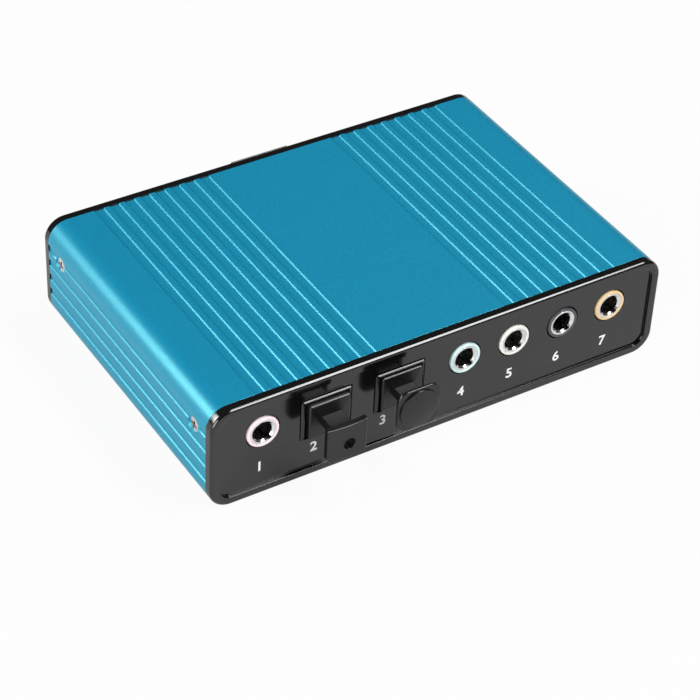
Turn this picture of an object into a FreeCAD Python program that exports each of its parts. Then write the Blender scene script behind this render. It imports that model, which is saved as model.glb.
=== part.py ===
"""USB sound card: a grooved aluminium case with moulded end caps, jacks, optical ports and a board.

Sizes are in millimetres. X runs along the front cap, the ports face -Y and +Z is up.
The origin is the centre of the underside of the case.
"""
import FreeCAD
import Part
import os

V = FreeCAD.Vector

# Case
CASE_W = 90.0            # width along the front cap
CASE_H = 20.3            # height
CASE_D = 61.0            # depth over both end caps
CORNER_R = 3.9           # radius of the four long edges
WALL = 1.5               # wall of the extruded sleeve
CAP_T = 1.75             # thickness of an end cap, seen past the sleeve
EDGE = 0.45              # bevelled outer edge of an end cap
RIM_W = 1.7              # rim around the recessed field of an end cap
FIELD_D = 0.5            # depth of the recessed field
FIT = 0.1                # play of the parts that slide into each other

# Grooves of the extrusion
TOP_GROOVES = 8          # grooves in each of the two bands on top and underneath
TOP_PITCH = 3.02
TOP_GROOVE_W = 2.0
TOP_BAND_SIDE = 20.65    # centre of a band from the side of the case
SIDE_GROOVES = 4
SIDE_PITCH = 3.17
SIDE_GROOVE_W = 1.6
SIDE_BAND_UP = 0.5       # centre of the band above the middle of a side wall
GROOVE_D = 0.25
GROOVE_SLOPE = 0.22      # run of a sloped groove wall

# Board and its slots in the sleeve
BOARD_T = 1.6
BOARD_PLAY = 0.3         # side play of the board in the slots
BOARD_END = 1.2          # board edge behind the inner face of an end cap
RAIL_T = 1.0
RAIL_D = 1.6

# Tongues and screw lugs of the end caps
TONGUE_USB = 6.0         # inner end of a tongue from the USB socket
TONGUE_SIDE = 9.0        # outer end of a tongue from the side of the case
TONGUE_T = 1.1
TONGUE_L = 2.4
LUG_T = 3.1
LUG_HALF = 2.5           # half the height and half the depth of a lug around its screw
ROOT = 0.4               # root of a tongue or lug inside the plate
OVERCUT = 1.0            # length of a cut past the face it opens

# Side screws
SCREW_IN = 4.4           # screw from the end of the sleeve
SCREW_UP = 4.2           # screw above the middle of the side wall
SCREW_HEAD_R = 1.5
SCREW_HEAD_H = 0.8
SCREW_SINK = 0.3         # head below the face of the side wall
SCREW_SHANK_R = 0.9
SCREW_L = 4.2

# Jacks for 3.5 mm plugs
JACK_NAMES = ("mic", "line", "front", "rear", "bass")
JACK_Z = 5.8             # axis of a jack above the board
JACK_W = 9.4
JACK_ROOF = 1.6          # housing above the bush
JACK_D = 12.5
JACK_WALL = 1.0
JACK_FRONT_T = 2.3       # front wall of a jack housing
JACK_GAP = 0.71          # gap between the housings of a row
JACK_LUG_GAP = (0.54, 0.84)   # gap between the first or last housing and a screw lug
NOSE_R = 3.0
BUSH_R = 2.5
BORE_R = 1.8             # takes a plug of 3.5 mm
BUSH_L = 6.0
NOSE_OUT = 0.25          # nose ring in front of the recessed field
BUSH_IN = 0.1            # bush behind the face of the nose ring
HOLE_GAP = 0.25          # gap around a nose in the cap
HOUSING_GAP = 0.2        # housings behind the inner face of a cap
PIN_OUT = 1.0            # pins below the board
STRIP_W = 1.0            # contact strips of a jack
STRIP_T = 0.4
STRIP_GAP = 0.5          # strip beside the bore
RING_BACK = 3.6          # ring and tip strips behind the front wall
TIP_BACK = 6.6
STRIP_UP = 0.8           # end of a strip above the axis

# Optical ports and dust plugs
PORT_NAMES = ("output", "input")
PORT_W = 9.7
PORT_FOOT = 0.85         # nose above the board
PORT_NOSE_H = 8.05
PORT_CROWN = 0.75        # housing above the nose
PORT_D = 11.8
PORT_NOSE_OUT = 0.4      # nose in front of the recessed field
PORT_EDGE = 0.15         # bevel of the nose
PORT_WALL = 0.75         # side walls of the receptacle
PORT_LIP = 0.375         # wall above and below the receptacle
PORT_DEPTH = 7.0         # depth of the receptacle
PORT_GAPS = (2.5, 4.62, 3.57)   # how the free width beside the two ports is shared out
FIBRE_R = 1.3
OPTO_W = 5.0
OPTO_T = 1.8
OPTO_H = 6.4
OPTO_BACK = 0.75         # wall behind the element
OPTO_PITCH = 1.8
OPTO_PIN = 0.5
PLUG_OUT = (1.0, 0.6)    # block of each plug in front of its nose
PLUG_IN = 6.0            # plug block inside the receptacle
PLUG_EDGE = 0.25         # bevel of the plug block
STEM_W = 4.0
STEM_TOP = 1.2           # top of the stem above the middle of the nose
STEM_H = 1.8
RAMP_L = 0.4
GRIP_Y = (6.4, 5.65)     # face of each grip plate in front of the cap
GRIP_T = (1.2, 0.6)
GRIP_W = (7.6, 8.4)
GRIP_H = (7.1, 8.3)
GRIP_DROP = (1.08, 0.28) # centre of each grip plate below the middle of the nose
GRIP_R = (1.2, 2.0)
GRIP_HOLE_R = 1.1
GRIP_HOLE_D = 1.0
GRIP_HOLE_X = 0.45       # hole beside the middle of its grip plate
GRIP_HOLE_DROP = 0.65    # hole below the middle of its grip plate
GRIP_SAG = 0.3           # hollow top edge of the first grip plate
DOME_R = 3.75            # round pad on the second grip plate
DOME_STEP = 0.3          # straight side of the pad
DOME_RISE = 0.3          # crown of the pad

# USB type B socket
USB_X = 0.0
USB_W = 12.0
USB_H = 10.9
USB_D = 16.5
USB_OUT = 2.6            # socket behind the rear cap
USB_SKIN = 0.4
USB_MOUTH_W = 8.45
USB_MOUTH_H = 7.78
USB_MOUTH_D = 9.0
USB_CUT = 1.6            # sloped upper corners of the mouth
USB_LIP = 0.4            # insulator behind the edge of the shell
USB_BACK = 1.0           # insulator in front of the rear edge of the shell
USB_ROOF = 0.6           # room above the socket
TAB_W = 2.0
TAB_BACK = 5.0           # solder tabs from the rear edge of the shell
BLADE_W = 5.6            # tongue that carries the contacts
BLADE_H = 3.2
BLADE_IN = 0.6           # tip of the tongue behind the face of the insulator
USB_PIN_X = 1.25
USB_PIN_W = 1.0
USB_PIN_T = 0.25
USB_PIN_IN = 0.8         # tips of the contacts behind the tip of the tongue
USB_LEG = 0.6            # legs of the contacts
USB_LEG_BACK = 2.6
USB_LEG_STEP = 2.0

# Parts on the board
CHIP_W = 7.0
CHIP_T = 1.4
CHIP_X = -12.0
CHIP_Y = 4.0
LEAD_L = 1.0
LEAD_W = 0.35
LEAD_T = 0.45
LEAD_PITCH = 0.8
LEADS_PER_SIDE = 8
CRYSTAL_L = 11.0
CRYSTAL_W = 4.5
CRYSTAL_H = 3.5
CRYSTAL_R = 2.0
CRYSTAL_X = -26.0
CRYSTAL_Y = 6.0
REG_W = 6.5
REG_D = 3.5
REG_T = 1.6
REG_PITCH = 2.3
REG_LEADS = 3
REG_X = 13.0
REG_BACK = 15.6          # regulator from the rear edge of the board
DRIVER_SIDE = 4.65       # driver chip beside the axis of its jack
DRIVER_W = 4.9
DRIVER_D = 3.9
DRIVER_T = 1.5
DRIVER_PITCH = 1.27
DRIVER_LEADS = 4         # on each long side
DRIVER_GAP = 2.2         # drivers behind the output capacitors
OUT_CAP_W = 3.5
OUT_CAP_D = 6.0
OUT_CAP_T = 2.6
OUT_CAP_GAP = 2.6        # output capacitors behind the jacks
OUT_CAP_SIDE = 2.5       # output capacitors beside the axis of their jack
CAP_LEAD_W = 2.2
CAP_LEAD_L = 0.7
CAN_BASE = 0.9
SUPPLY_R = 3.15
SUPPLY_H = 6.6
SUPPLY_X = 24.0
SUPPLY_BACK = 9.6        # supply capacitor from the rear edge of the board
SMALL_W = 1.6            # chip resistors and chip capacitors
SMALL_D = 0.8
SMALL_T = 0.5
SMALL_GAP = 2.2
SMALL_STEP = 3.0

# Derived places
HALF_W = CASE_W / 2
FACE_Y = CASE_D / 2
SLEEVE_Y = FACE_Y - CAP_T
FIELD_Y = FACE_Y - FIELD_D
MID_Z = CASE_H / 2
ROOF_Z = CASE_H - WALL
JACK_H = JACK_Z + BUSH_R + JACK_ROOF
PORT_H = PORT_FOOT + PORT_NOSE_H + PORT_CROWN
TALLEST = max(USB_H + USB_ROOF, max(JACK_H, PORT_H) + TONGUE_T + 2 * FIT + HOUSING_GAP)
BOARD_TOP = ROOF_Z - TALLEST
BOARD_Z = BOARD_TOP - BOARD_T
AXIS_Z = BOARD_TOP + JACK_Z
HOUSING_Y = SLEEVE_Y - HOUSING_GAP
BOARD_Y = SLEEVE_Y - BOARD_END
BOARD_HALF_W = HALF_W - WALL - BOARD_PLAY
NOSE_Y = FIELD_Y + NOSE_OUT
BUSH_Y = NOSE_Y - BUSH_IN
PORT_Y = FIELD_Y + PORT_NOSE_OUT
PORT_NOSE_Z = BOARD_TOP + PORT_FOOT + PORT_NOSE_H / 2
GRIP_Z = tuple(PORT_NOSE_Z - drop for drop in GRIP_DROP)
OPTO_Y = -HOUSING_Y + PORT_D - OPTO_BACK - OPTO_T
PIN_Z = BOARD_Z - PIN_OUT
USB_END = FACE_Y + USB_OUT
SCREW_Y = SLEEVE_Y - SCREW_IN
SCREW_Z = MID_Z + SCREW_UP
LUG_X = HALF_W - WALL - FIT - LUG_T
OUT_CAP_Y = -HOUSING_Y + JACK_D + OUT_CAP_GAP + OUT_CAP_D / 2
DRIVER_Y = OUT_CAP_Y + OUT_CAP_D / 2 + DRIVER_GAP + LEAD_L + DRIVER_D / 2
REG_Y = BOARD_Y - REG_BACK
SUPPLY_Y = BOARD_Y - SUPPLY_BACK
TOP_BAND_X = HALF_W - TOP_BAND_SIDE
SIDE_BAND_Z = MID_Z + SIDE_BAND_UP
HEAD_SLOPE = (SCREW_HEAD_R - SCREW_SHANK_R) / SCREW_HEAD_H

# Row of ports: the jacks are set out from the lugs, the optical ports share what is left between
FIRST_JACK = JACK_LUG_GAP[0] + JACK_W / 2 - LUG_X
LAST_JACK = LUG_X - JACK_LUG_GAP[1] - JACK_W / 2
JACK_X = (FIRST_JACK,) + tuple(LAST_JACK - k * (JACK_W + JACK_GAP) for k in (3, 2, 1, 0))
PORT_ROOM = JACK_X[1] - JACK_X[0] - JACK_W - 2 * PORT_W
PORT_UNIT = PORT_ROOM / sum(PORT_GAPS)
PORT_X = (JACK_X[0] + JACK_W / 2 + PORT_GAPS[0] * PORT_UNIT + PORT_W / 2,
          JACK_X[1] - JACK_W / 2 - PORT_GAPS[2] * PORT_UNIT - PORT_W / 2)
DRIVER_X = tuple(x - DRIVER_SIDE for x in JACK_X[2:])
OUT_CAP_X = tuple(x + side * OUT_CAP_SIDE for x in JACK_X[2:] for side in (-1, 1))


def box(x0, x1, y0, y1, z0, z1):
    """Box between two corners."""
    return Part.makeBox(x1 - x0, y1 - y0, z1 - z0, V(x0, y0, z0))


def rod_y(x, y0, y1, z, r):
    """Cylinder along Y."""
    return Part.makeCylinder(r, y1 - y0, V(x, y0, z), V(0, 1, 0))


def rod_z(x, y, z0, z1, r):
    """Upright cylinder."""
    return Part.makeCylinder(r, z1 - z0, V(x, y, z0))


def prism_y(points, y0, y1):
    """Outline in X and Z drawn out along Y."""
    corners = [V(x, y0, z) for x, z in points]
    return Part.Face(Part.makePolygon(corners + corners[:1])).extrude(V(0, y1 - y0, 0))


def edges_along(shape, axis):
    """Straight edges that run along one axis (0, 1 or 2)."""
    found = []
    for edge in shape.Edges:
        if len(edge.Vertexes) != 2:
            continue
        step = edge.Vertexes[1].Point - edge.Vertexes[0].Point
        if abs(abs(step[axis]) - step.Length) < 1e-6:
            found.append(edge)
    return found


def rim_at(shape, y):
    """Edges that lie in one plane across Y."""
    return [e for e in shape.Edges if all(abs(v.Point.y - y) < 1e-6 for v in e.Vertexes)]


def slab(xc, zc, w, h, r, y0, y1):
    """Rounded rectangle in X and Z, drawn out along Y."""
    block = box(xc - w / 2, xc + w / 2, y0, y1, zc - h / 2, zc + h / 2)
    return block.makeFillet(r, edges_along(block, 1))


def one(shape):
    """The single solid of a shape, with its split faces joined."""
    clean = shape.removeSplitter()
    return clean.Solids[0] if len(clean.Solids) == 1 else clean


def groove(centre, width, face, inward, length):
    """Groove with sloped walls; the points run along the face and into the wall."""
    half = width / 2
    low = half - GROOVE_SLOPE
    out = face - inward
    profile = [(centre - half, out), (centre + half, out), (centre + half, face),
               (centre + low, face + inward * GROOVE_D), (centre - low, face + inward * GROOVE_D),
               (centre - half, face)]
    return profile, length


def sleeve_grooves():
    """All grooves of the extrusion."""
    cuts = []
    for side in (-1, 1):
        for i in range(TOP_GROOVES):
            x = side * TOP_BAND_X + (i - (TOP_GROOVES - 1) / 2) * TOP_PITCH
            for face, inward in ((CASE_H, -1), (0.0, 1)):
                profile, length = groove(x, TOP_GROOVE_W, face, inward, CASE_D)
                cuts.append(prism_y(profile, -length / 2, length / 2))
        for i in range(SIDE_GROOVES):
            z = SIDE_BAND_Z + (i - (SIDE_GROOVES - 1) / 2) * SIDE_PITCH
            profile, length = groove(z, SIDE_GROOVE_W, side * HALF_W, -side, CASE_D)
            cuts.append(prism_y([(b, a) for a, b in profile], -length / 2, length / 2))
    return cuts


def screw_places():
    """Name, side and Y of each side screw."""
    return (("screw_front_left", -1, -SCREW_Y), ("screw_front_right", 1, -SCREW_Y),
            ("screw_rear_left", -1, SCREW_Y), ("screw_rear_right", 1, SCREW_Y))


def along_x(side, y, start, length, r0, r1):
    """Cylinder or cone that starts below a side wall and runs inwards."""
    at = V(side * (HALF_W - start), y, SCREW_Z)
    if abs(r0 - r1) < 1e-9:
        return Part.makeCylinder(r0, length, at, V(-side, 0, 0))
    return Part.makeCone(r0, r1, length, at, V(-side, 0, 0))


def case_sleeve():
    """Extruded tube with grooves outside and board slots inside."""
    tube = slab(0, MID_Z, CASE_W, CASE_H, CORNER_R, -SLEEVE_Y, SLEEVE_Y)
    inner = slab(0, MID_Z, CASE_W - 2 * WALL, CASE_H - 2 * WALL, CORNER_R - WALL,
                 -CASE_D, CASE_D)
    rails = []
    for side in (-1, 1):
        x0, x1 = sorted((side * (HALF_W - WALL - RAIL_D), side * (HALF_W - WALL / 2)))
        rails.append(box(x0, x1, -SLEEVE_Y, SLEEVE_Y, BOARD_Z - RAIL_T, BOARD_Z))
        rails.append(box(x0, x1, -SLEEVE_Y, SLEEVE_Y, BOARD_TOP + FIT, BOARD_TOP + FIT + RAIL_T))
    body = tube.cut(inner).fuse(rails).cut(sleeve_grooves())
    holes = []
    for _, side, y in screw_places():
        rise = SCREW_SINK + OVERCUT
        holes.append(along_x(side, y, -OVERCUT, rise + SCREW_HEAD_H,
                             SCREW_HEAD_R + HEAD_SLOPE * rise, SCREW_SHANK_R))
        holes.append(along_x(side, y, SCREW_SINK, WALL + OVERCUT, SCREW_SHANK_R + FIT, SCREW_SHANK_R + FIT))
    return one(body.cut(holes))


def side_screw(side, y):
    """Countersunk screw, turned around its axis."""
    face = HALF_W - SCREW_SINK
    radii = ((0.0, face), (SCREW_HEAD_R, face), (SCREW_SHANK_R, face - SCREW_HEAD_H),
             (SCREW_SHANK_R, face - SCREW_L), (0.0, face - SCREW_L))
    profile = [V(side * x, y, SCREW_Z + r) for r, x in radii]
    return Part.Face(Part.makePolygon(profile + profile[:1])).revolve(V(0, y, SCREW_Z), V(1, 0, 0), 360)


def cap_blank():
    """End cap at the front without openings: plate, tongues and screw lugs."""
    plate = slab(0, MID_Z, CASE_W, CASE_H, CORNER_R, -FACE_Y, -SLEEVE_Y)
    plate = plate.makeChamfer(EDGE, rim_at(plate, -FACE_Y))
    field = slab(0, MID_Z, CASE_W - 2 * RIM_W, CASE_H - 2 * RIM_W, CORNER_R - RIM_W,
                 -FACE_Y - OVERCUT, -FIELD_Y)
    adds = []
    root = -SLEEVE_Y - ROOT
    for side in (-1, 1):
        x0, x1 = sorted((side * (USB_W / 2 + TONGUE_USB), side * (HALF_W - TONGUE_SIDE)))
        for z0 in (WALL + FIT, ROOF_Z - FIT - TONGUE_T):
            adds.append(box(x0, x1, root, -SLEEVE_Y + TONGUE_L, z0, z0 + TONGUE_T))
        x0, x1 = sorted((side * LUG_X, side * (LUG_X + LUG_T)))
        adds.append(box(x0, x1, root, -SCREW_Y + LUG_HALF, SCREW_Z - LUG_HALF, SCREW_Z + LUG_HALF))
    pilots = [along_x(side, -SCREW_Y, 0.0, SCREW_SINK + SCREW_L, SCREW_SHANK_R, SCREW_SHANK_R)
              for side in (-1, 1)]
    return plate.cut(field).fuse(adds).cut(pilots)


def front_panel():
    """Front cap with five round holes and two windows."""
    cuts = [rod_y(x, -CASE_D, -SLEEVE_Y + FIT, AXIS_Z, NOSE_R + HOLE_GAP) for x in JACK_X]
    for x in PORT_X:
        half = PORT_W / 2 + FIT
        cuts.append(box(x - half, x + half, -CASE_D, -SLEEVE_Y + FIT,
                        PORT_NOSE_Z - PORT_NOSE_H / 2 - FIT, PORT_NOSE_Z + PORT_NOSE_H / 2 + FIT))
    return one(cap_blank().cut(cuts))


def rear_panel():
    """Rear cap with the window of the USB socket."""
    blank = cap_blank().mirror(V(0, 0, 0), V(0, 1, 0))
    half = USB_W / 2 + FIT
    window = box(USB_X - half, USB_X + half, SLEEVE_Y - FIT, CASE_D,
                 BOARD_TOP - FIT, BOARD_TOP + USB_H + FIT)
    return one(blank.cut(window))


def jack_pins(x):
    """Contact strips of one jack: shield, ring and tip."""
    y0 = -HOUSING_Y + JACK_FRONT_T
    near = BORE_R + STRIP_GAP
    ring, tip, top = y0 + RING_BACK, y0 + TIP_BACK, AXIS_Z + STRIP_UP
    return (box(x - STRIP_W / 2, x + STRIP_W / 2, y0, y0 + STRIP_T, PIN_Z, AXIS_Z - BUSH_R),
            box(x + near, x + near + STRIP_T, ring, ring + STRIP_W, PIN_Z, top),
            box(x - near - STRIP_T, x - near, tip, tip + STRIP_W, PIN_Z, top))


def jack_housing(x):
    """Moulded housing with a round nose, open underneath for the contacts."""
    shell = box(x - JACK_W / 2, x + JACK_W / 2, -HOUSING_Y, -HOUSING_Y + JACK_D,
                BOARD_TOP, BOARD_TOP + JACK_H)
    nose = rod_y(x, -NOSE_Y, -HOUSING_Y + JACK_FRONT_T / 2, AXIS_Z, NOSE_R)
    room = box(x - JACK_W / 2 + JACK_WALL, x + JACK_W / 2 - JACK_WALL, -HOUSING_Y + JACK_FRONT_T,
               -HOUSING_Y + JACK_D - JACK_WALL, BOARD_Z, BOARD_TOP + JACK_H - JACK_WALL)
    hole = rod_y(x, -CASE_D, -HOUSING_Y + JACK_FRONT_T + FIT, AXIS_Z, BUSH_R)
    return one(shell.fuse(nose).cut([room, hole]))


def jack_bush(x):
    """Plated barrel, turned around the axis of the jack."""
    end = BUSH_L - BUSH_Y
    profile = [V(x + BORE_R, -BUSH_Y, AXIS_Z), V(x + BUSH_R, -BUSH_Y, AXIS_Z),
               V(x + BUSH_R, end, AXIS_Z), V(x + BORE_R, end, AXIS_Z)]
    return Part.Face(Part.makePolygon(profile + profile[:1])).revolve(V(x, 0, AXIS_Z), V(0, 1, 0), 360)


def jack_contacts(x):
    """Contact strips of one jack with their solder pins."""
    return Part.makeCompound(list(jack_pins(x)))


def opto_pins(x):
    """Leads of one optical element."""
    half = OPTO_PIN / 2
    mid = OPTO_Y + OPTO_T / 2
    return [box(x + dx - half, x + dx + half, mid - half, mid + half, PIN_Z, BOARD_TOP + PORT_WALL)
            for dx in (-OPTO_PITCH, 0.0, OPTO_PITCH)]


def port_housing(x):
    """Housing of an optical port with its receptacle, fibre guide and room for the element."""
    half = PORT_W / 2
    z0 = PORT_NOSE_Z - PORT_NOSE_H / 2
    z1 = PORT_NOSE_Z + PORT_NOSE_H / 2
    back = box(x - half, x + half, -HOUSING_Y, -HOUSING_Y + PORT_D, BOARD_TOP, BOARD_TOP + PORT_H)
    nose = box(x - half, x + half, -PORT_Y, -HOUSING_Y + PORT_WALL, z0, z1)
    nose = nose.makeChamfer(PORT_EDGE, rim_at(nose, -PORT_Y))
    mouth = box(x - half + PORT_WALL, x + half - PORT_WALL, -PORT_Y - OVERCUT, -PORT_Y + PORT_DEPTH,
                z0 + PORT_LIP, z1 - PORT_LIP)
    room = box(x - OPTO_W / 2, x + OPTO_W / 2, OPTO_Y, OPTO_Y + OPTO_T,
               BOARD_Z, BOARD_TOP + PORT_WALL + OPTO_H)
    guide = rod_y(x, -PORT_Y, OPTO_Y + FIT, PORT_NOSE_Z, FIBRE_R)
    return one(back.fuse(nose).cut([mouth, room, guide]))


def port_element(x):
    """Moulded package behind the fibre guide, with three leads."""
    body = box(x - OPTO_W / 2, x + OPTO_W / 2, OPTO_Y, OPTO_Y + OPTO_T,
               BOARD_TOP + PORT_WALL, BOARD_TOP + PORT_WALL + OPTO_H)
    return one(body.fuse(opto_pins(x)))


def plug_body(x, k):
    """Block, ramp and stem of a dust plug."""
    half = PORT_W / 2 - PORT_WALL - FIT
    z0 = PORT_NOSE_Z - PORT_NOSE_H / 2 + PORT_LIP + FIT
    z1 = PORT_NOSE_Z + PORT_NOSE_H / 2 - PORT_LIP - FIT
    front = -PORT_Y - PLUG_OUT[k]
    block = box(x - half, x + half, front, -PORT_Y + PLUG_IN, z0, z1)
    block = block.makeChamfer(PLUG_EDGE, rim_at(block, front))
    top = PORT_NOSE_Z + STEM_TOP
    face = -FACE_Y - GRIP_Y[k]
    stem = box(x - STEM_W / 2, x + STEM_W / 2, face + GRIP_T[k] / 2, front + PLUG_OUT[k] / 2,
               top - STEM_H, top)
    a = STEM_W / 2
    wide = half - PLUG_EDGE
    high = z1 - PLUG_EDGE
    rear = [V(x - wide, front, high), V(x + wide, front, high), V(x + a, front, top), V(x - a, front, top)]
    tip = [V(x - a, front - RAMP_L, top), V(x + a, front - RAMP_L, top)]
    loops = [[rear[0], rear[1], rear[2], rear[3]], [rear[3], rear[2], tip[1], tip[0]],
             [rear[1], rear[0], tip[0], tip[1]], [rear[0], rear[3], tip[0]], [rear[2], rear[1], tip[1]]]
    faces = [Part.Face(Part.makePolygon(loop + loop[:1])) for loop in loops]
    ramp = Part.makeSolid(Part.makeShell(faces))
    return block.fuse([stem, ramp])


def output_plug():
    """Dust plug whose grip plate has a hollow top edge and a blind hole."""
    x, k = PORT_X[0], 0
    face = -FACE_Y - GRIP_Y[k]
    top = GRIP_Z[k] + GRIP_H[k] / 2
    grip = slab(x, GRIP_Z[k], GRIP_W[k], GRIP_H[k], GRIP_R[k], face, face + GRIP_T[k])
    square = box(x - GRIP_W[k] / 2, x + GRIP_W[k] / 2, face, face + GRIP_T[k], GRIP_Z[k], top)
    span = GRIP_W[k] / 2
    hollow_r = (span * span + GRIP_SAG * GRIP_SAG) / (2 * GRIP_SAG)
    hollow = rod_y(x, face - OVERCUT, face + GRIP_T[k] + OVERCUT, top + hollow_r - GRIP_SAG, hollow_r)
    grip = grip.fuse(square).removeSplitter().cut(hollow)
    hole = rod_y(x + GRIP_HOLE_X, face - OVERCUT, face + GRIP_HOLE_D, GRIP_Z[k] - GRIP_HOLE_DROP,
                 GRIP_HOLE_R)
    return one(plug_body(x, k).fuse(grip).cut(hole))


def input_plug():
    """Dust plug whose grip plate carries a low round pad."""
    x, k = PORT_X[1], 1
    face = -FACE_Y - GRIP_Y[k]
    grip = slab(x, GRIP_Z[k], GRIP_W[k], GRIP_H[k], GRIP_R[k], face, face + GRIP_T[k])
    crown = face - DOME_STEP - DOME_RISE
    ball_r = (DOME_R * DOME_R + DOME_RISE * DOME_RISE) / (2 * DOME_RISE)
    ball = Part.makeSphere(ball_r, V(x, crown + ball_r, GRIP_Z[k]))
    pad = rod_y(x, crown, face + GRIP_T[k] / 2, GRIP_Z[k], DOME_R).common(ball)
    return one(plug_body(x, k).fuse([grip, pad]))


def usb_pins():
    """Solder legs of the USB contacts."""
    y = USB_END - USB_D + USB_LEG_BACK
    half = USB_LEG / 2
    legs = []
    for x in (USB_X - USB_PIN_X, USB_X + USB_PIN_X):
        for y0 in (y - half, y - half + USB_LEG_STEP):
            legs.append(box(x - half, x + half, y0, y0 + USB_LEG, PIN_Z, BOARD_TOP + USB_SKIN))
    return legs


def usb_tabs():
    """Solder tabs of the USB shell."""
    y0 = USB_END - USB_D + TAB_BACK - TAB_W / 2
    tabs = []
    for side in (-1, 1):
        x0, x1 = sorted((USB_X + side * USB_W / 2, USB_X + side * (USB_W / 2 - USB_SKIN)))
        tabs.append(box(x0, x1, y0, y0 + TAB_W, PIN_Z, BOARD_TOP + USB_SKIN))
    return tabs


def usb_shell():
    """Folded steel shell with two solder tabs."""
    half = USB_W / 2
    outer = box(USB_X - half, USB_X + half, USB_END - USB_D, USB_END, BOARD_TOP, BOARD_TOP + USB_H)
    inner = box(USB_X - half + USB_SKIN, USB_X + half - USB_SKIN, USB_END - USB_D - OVERCUT,
                USB_END + OVERCUT, BOARD_TOP + USB_SKIN, BOARD_TOP + USB_H - USB_SKIN)
    return one(outer.cut([inner] + usb_pins()).fuse(usb_tabs()))


def usb_insulator():
    """Insulator with the mouth and the tongue for the contacts."""
    half = USB_W / 2 - USB_SKIN
    z0 = BOARD_TOP + USB_SKIN
    z1 = BOARD_TOP + USB_H - USB_SKIN
    mid = (z0 + z1) / 2
    front = USB_END - USB_LIP
    block = box(USB_X - half, USB_X + half, USB_END - USB_D + USB_BACK, front, z0, z1)
    w, h = USB_MOUTH_W / 2, USB_MOUTH_H / 2
    outline = [(USB_X - w, mid - h), (USB_X + w, mid - h), (USB_X + w, mid + h - USB_CUT),
               (USB_X + w - USB_CUT, mid + h), (USB_X - w + USB_CUT, mid + h), (USB_X - w, mid + h - USB_CUT)]
    mouth = prism_y(outline, front - USB_MOUTH_D, front + OVERCUT)
    blade = box(USB_X - BLADE_W / 2, USB_X + BLADE_W / 2, front - USB_MOUTH_D - ROOT, front - BLADE_IN,
                mid - BLADE_H / 2, mid + BLADE_H / 2)
    return one(block.cut(mouth).fuse(blade))


def usb_contacts():
    """Four contact strips on the tongue and their solder legs."""
    mid = BOARD_TOP + USB_H / 2
    front = USB_END - USB_LIP
    strips = []
    for x in (USB_X - USB_PIN_X, USB_X + USB_PIN_X):
        for z in (mid + BLADE_H / 2, mid - BLADE_H / 2 - USB_PIN_T):
            strips.append(box(x - USB_PIN_W / 2, x + USB_PIN_W / 2, front - USB_MOUTH_D,
                              front - BLADE_IN - USB_PIN_IN, z, z + USB_PIN_T))
    return Part.makeCompound(strips + usb_pins())


def main_board():
    """Circuit board with holes for all solder pins."""
    board = box(-BOARD_HALF_W, BOARD_HALF_W, -BOARD_Y, BOARD_Y, BOARD_Z, BOARD_TOP)
    holes = usb_pins() + usb_tabs()
    for x in JACK_X:
        holes.extend(jack_pins(x))
    for x in PORT_X:
        holes.extend(opto_pins(x))
    return one(board.cut(holes))


def chip_leads(x, y, w, d, count_x, count_y, pitch):
    """Leads around a chip: count_x along the front and rear, count_y along the two sides."""
    leads = []
    for i in range(count_x):
        c = x + (i - (count_x - 1) / 2) * pitch
        for y0 in (y - d / 2 - LEAD_L, y + d / 2):
            leads.append(box(c - LEAD_W / 2, c + LEAD_W / 2, y0, y0 + LEAD_L, BOARD_TOP, BOARD_TOP + LEAD_T))
    for i in range(count_y):
        c = y + (i - (count_y - 1) / 2) * pitch
        for x0 in (x - w / 2 - LEAD_L, x + w / 2):
            leads.append(box(x0, x0 + LEAD_L, c - LEAD_W / 2, c + LEAD_W / 2, BOARD_TOP, BOARD_TOP + LEAD_T))
    return leads


def chip(x, y, w, d, t):
    """Moulded chip body that stands on its leads."""
    return box(x - w / 2, x + w / 2, y - d / 2, y + d / 2, BOARD_TOP, BOARD_TOP + t)


def crystal_can():
    """Oval metal can of the crystal."""
    block = box(CRYSTAL_X - CRYSTAL_L / 2, CRYSTAL_X + CRYSTAL_L / 2, CRYSTAL_Y - CRYSTAL_W / 2,
                CRYSTAL_Y + CRYSTAL_W / 2, BOARD_TOP, BOARD_TOP + CRYSTAL_H)
    return block.makeFillet(CRYSTAL_R, edges_along(block, 2))


def supply_foot():
    """Square plastic foot of the supply capacitor."""
    return chip(SUPPLY_X, SUPPLY_Y, 2 * SUPPLY_R, 2 * SUPPLY_R, CAN_BASE)


def supply_can():
    """Aluminium can of the supply capacitor on its foot."""
    return rod_z(SUPPLY_X, SUPPLY_Y, BOARD_TOP + CAN_BASE, BOARD_TOP + CAN_BASE + SUPPLY_H, SUPPLY_R)


def output_capacitor_leads():
    """Folded end leads of the moulded output capacitors."""
    reach = OUT_CAP_D / 2 + CAP_LEAD_L / 2
    return Part.makeCompound([chip(x, OUT_CAP_Y + side * reach, CAP_LEAD_W, CAP_LEAD_L, LEAD_T)
                              for x in OUT_CAP_X for side in (-1, 1)])


def chips(places, w, d, t):
    """Like chips at a list of places."""
    return Part.makeCompound([chip(x, y, w, d, t) for x, y in places])


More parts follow.
